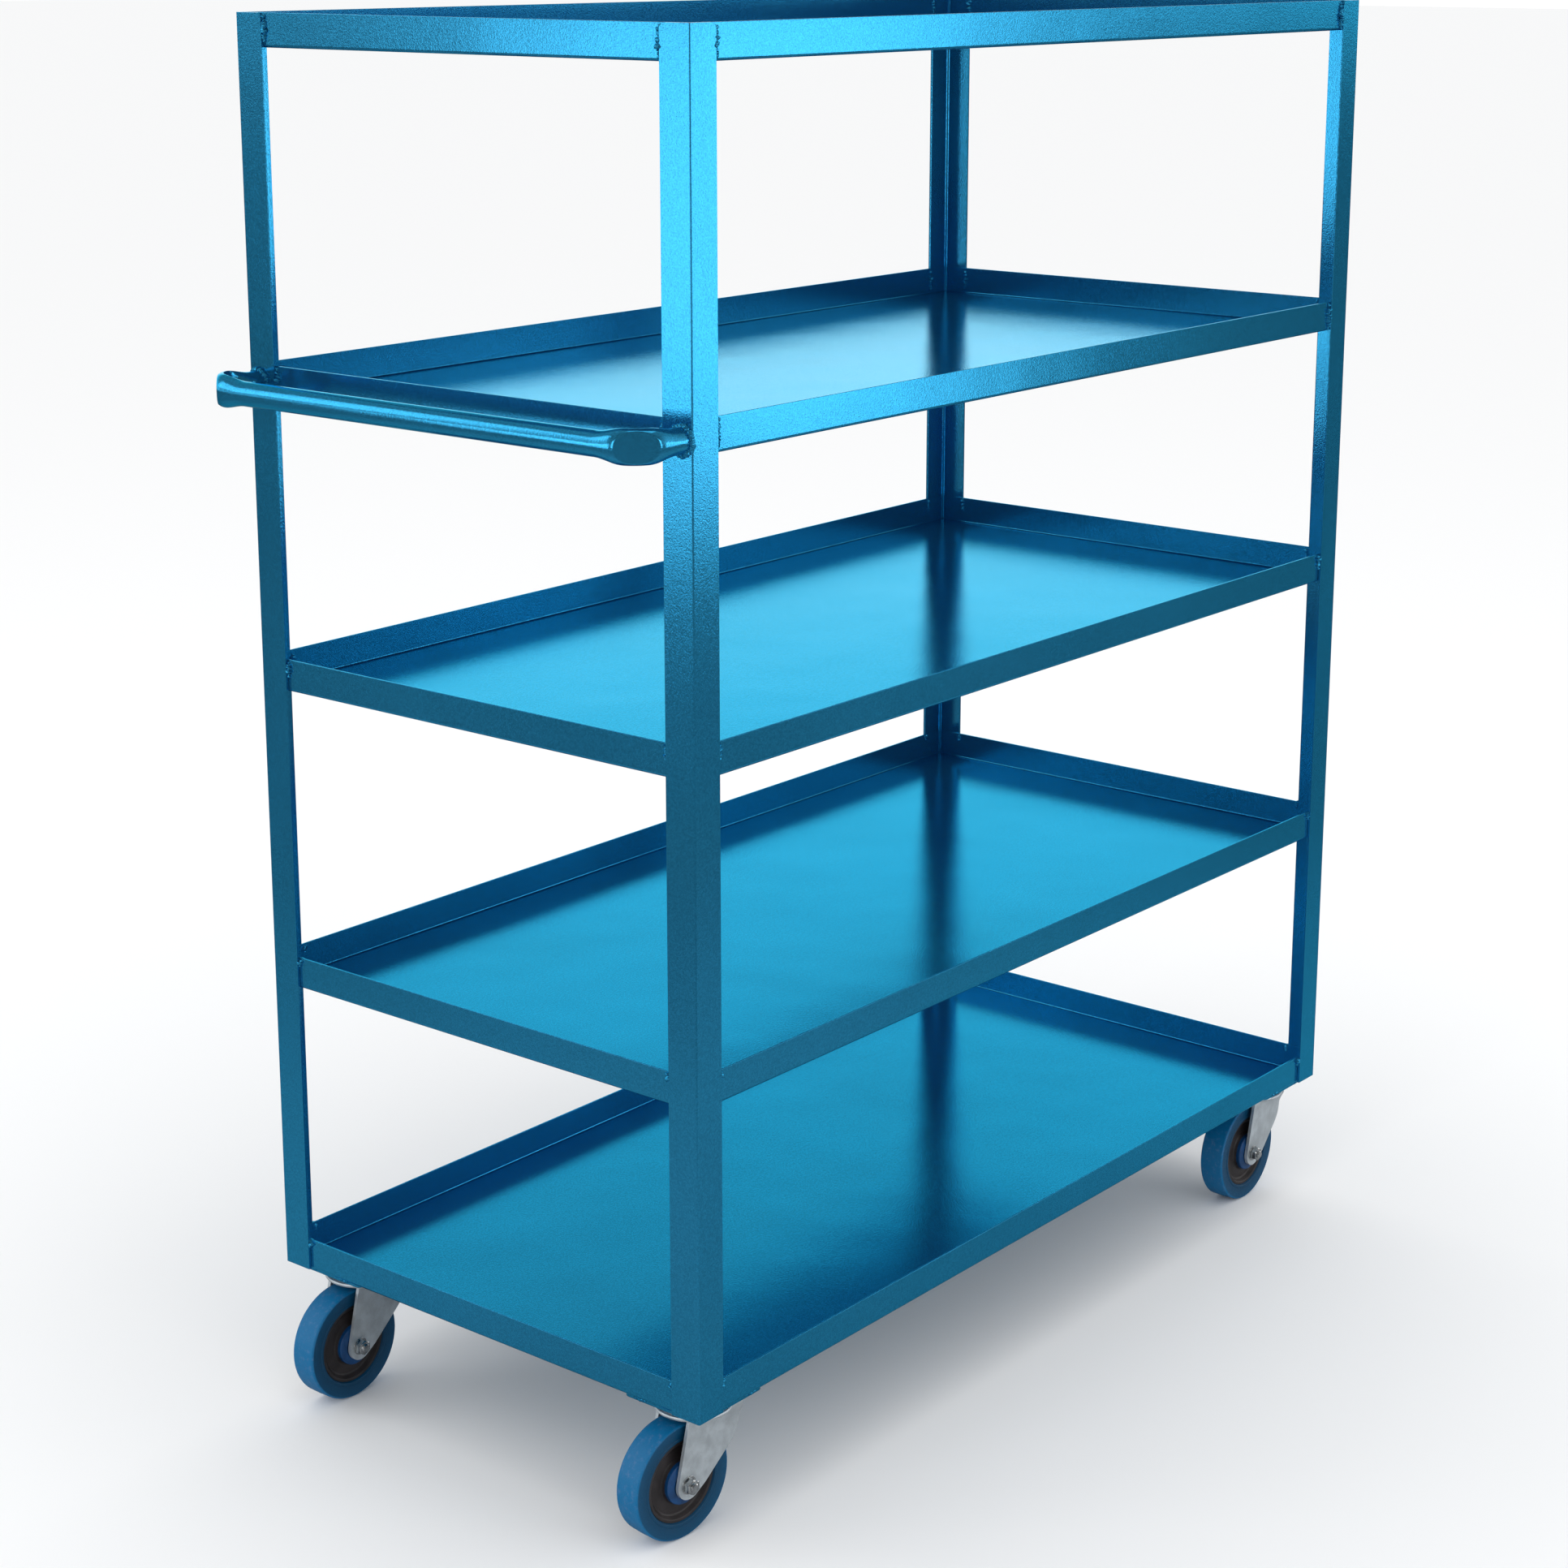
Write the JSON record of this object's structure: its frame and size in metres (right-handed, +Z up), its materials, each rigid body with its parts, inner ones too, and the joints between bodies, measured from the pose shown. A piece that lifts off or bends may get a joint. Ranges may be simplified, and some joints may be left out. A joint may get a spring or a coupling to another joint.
{
  "type": "shelf cart",
  "caption": "Tall welded steel stock cart with lipped tray shelves between angle posts, a push handle and swivel casters with rubber tyres.",
  "frame": {"origin": "on the floor, at the centre of the footprint with the handle counted in", "axes": "+X along the cart away from the handle, +Y to the left of a person who pushes it, +Z up"},
  "size_m": [1.3006, 0.61, 1.5224],
  "materials": {
    "blue_paint": "glossy enamel",
    "zinc_plate": "bright zinc plate",
    "bare_steel": "ground",
    "blue_rubber": "satin",
    "dark_nylon": "satin",
    "blue_nylon": "satin"
  },
  "bodies": {
    "frame": {"post_rear_right": "blue_paint", "post_front_right": "blue_paint", "post_front_left": "blue_paint", "post_rear_left": "blue_paint", "bottom_tray": "blue_paint", "lower_tray": "blue_paint", "middle_tray": "blue_paint", "upper_tray": "blue_paint", "top_tray": "blue_paint", "push_handle": "blue_paint", "caster_plate_rear_right": "blue_paint", "kingpin_rear_right": "zinc_plate", "caster_plate_rear_left": "blue_paint", "kingpin_rear_left": "zinc_plate", "caster_plate_front_right": "blue_paint", "kingpin_front_right": "zinc_plate", "caster_plate_front_left": "blue_paint", "kingpin_front_left": "zinc_plate"},
    "swivel_rear_right": {"fork_rear_right": "zinc_plate", "swivel_balls_rear_right": "bare_steel", "axle_bolt_rear_right": "zinc_plate", "axle_nut_rear_right": "zinc_plate", "axle_sleeve_rear_right": "bare_steel"},
    "wheel_rear_right": {"wheel_core_rear_right": "dark_nylon", "tyre_rear_right": "blue_rubber", "wheel_bearing_rear_right": "bare_steel", "hub_cap_outer_rear_right": "blue_nylon", "hub_cap_inner_rear_right": "blue_nylon"},
    "swivel_rear_left": {"fork_rear_left": "zinc_plate", "swivel_balls_rear_left": "bare_steel", "axle_bolt_rear_left": "zinc_plate", "axle_nut_rear_left": "zinc_plate", "axle_sleeve_rear_left": "bare_steel"},
    "wheel_rear_left": {"wheel_core_rear_left": "dark_nylon", "tyre_rear_left": "blue_rubber", "wheel_bearing_rear_left": "bare_steel", "hub_cap_outer_rear_left": "blue_nylon", "hub_cap_inner_rear_left": "blue_nylon"},
    "swivel_front_right": {"fork_front_right": "zinc_plate", "swivel_balls_front_right": "bare_steel", "axle_bolt_front_right": "zinc_plate", "axle_nut_front_right": "zinc_plate", "axle_sleeve_front_right": "bare_steel"},
    "wheel_front_right": {"wheel_core_front_right": "dark_nylon", "tyre_front_right": "blue_rubber", "wheel_bearing_front_right": "bare_steel", "hub_cap_outer_front_right": "blue_nylon", "hub_cap_inner_front_right": "blue_nylon"},
    "swivel_front_left": {"fork_front_left": "zinc_plate", "swivel_balls_front_left": "bare_steel", "axle_bolt_front_left": "zinc_plate", "axle_nut_front_left": "zinc_plate", "axle_sleeve_front_left": "bare_steel"},
    "wheel_front_left": {"wheel_core_front_left": "dark_nylon", "tyre_front_left": "blue_rubber", "wheel_bearing_front_left": "bare_steel", "hub_cap_outer_front_left": "blue_nylon", "hub_cap_inner_front_left": "blue_nylon"}
  },
  "joints": [
    {"name": "swivel_rear_right", "type": "hinge", "parent": "frame", "child": "swivel_rear_right", "pos_m": [-0.51665, -0.246, 0.13595], "axis": [0, 0, 1], "continuous": true},
    {"name": "roll_rear_right", "type": "hinge", "parent": "swivel_rear_right", "child": "wheel_rear_right", "pos_m": [-0.54646, -0.2426, 0.0635], "axis": [0.1132, 0.9936, 0], "continuous": true},
    {"name": "swivel_rear_left", "type": "hinge", "parent": "frame", "child": "swivel_rear_left", "pos_m": [-0.51665, 0.246, 0.13595], "axis": [0, 0, 1], "continuous": true},
    {"name": "roll_rear_left", "type": "hinge", "parent": "swivel_rear_left", "child": "wheel_rear_left", "pos_m": [-0.54665, 0.246, 0.0635], "axis": [0, 1, 0], "continuous": true},
    {"name": "swivel_front_right", "type": "hinge", "parent": "frame", "child": "swivel_front_right", "pos_m": [0.59135, -0.246, 0.13595], "axis": [0, 0, 1], "continuous": true},
    {"name": "roll_front_right", "type": "hinge", "parent": "swivel_front_right", "child": "wheel_front_right", "pos_m": [0.56135, -0.246, 0.0635], "axis": [0, 1, 0], "continuous": true},
    {"name": "swivel_front_left", "type": "hinge", "parent": "frame", "child": "swivel_front_left", "pos_m": [0.59135, 0.246, 0.13595], "axis": [0, 0, 1], "continuous": true},
    {"name": "roll_front_left", "type": "hinge", "parent": "swivel_front_left", "child": "wheel_front_left", "pos_m": [0.56135, 0.246, 0.0635], "axis": [0, 1, 0], "continuous": true}
  ]
}
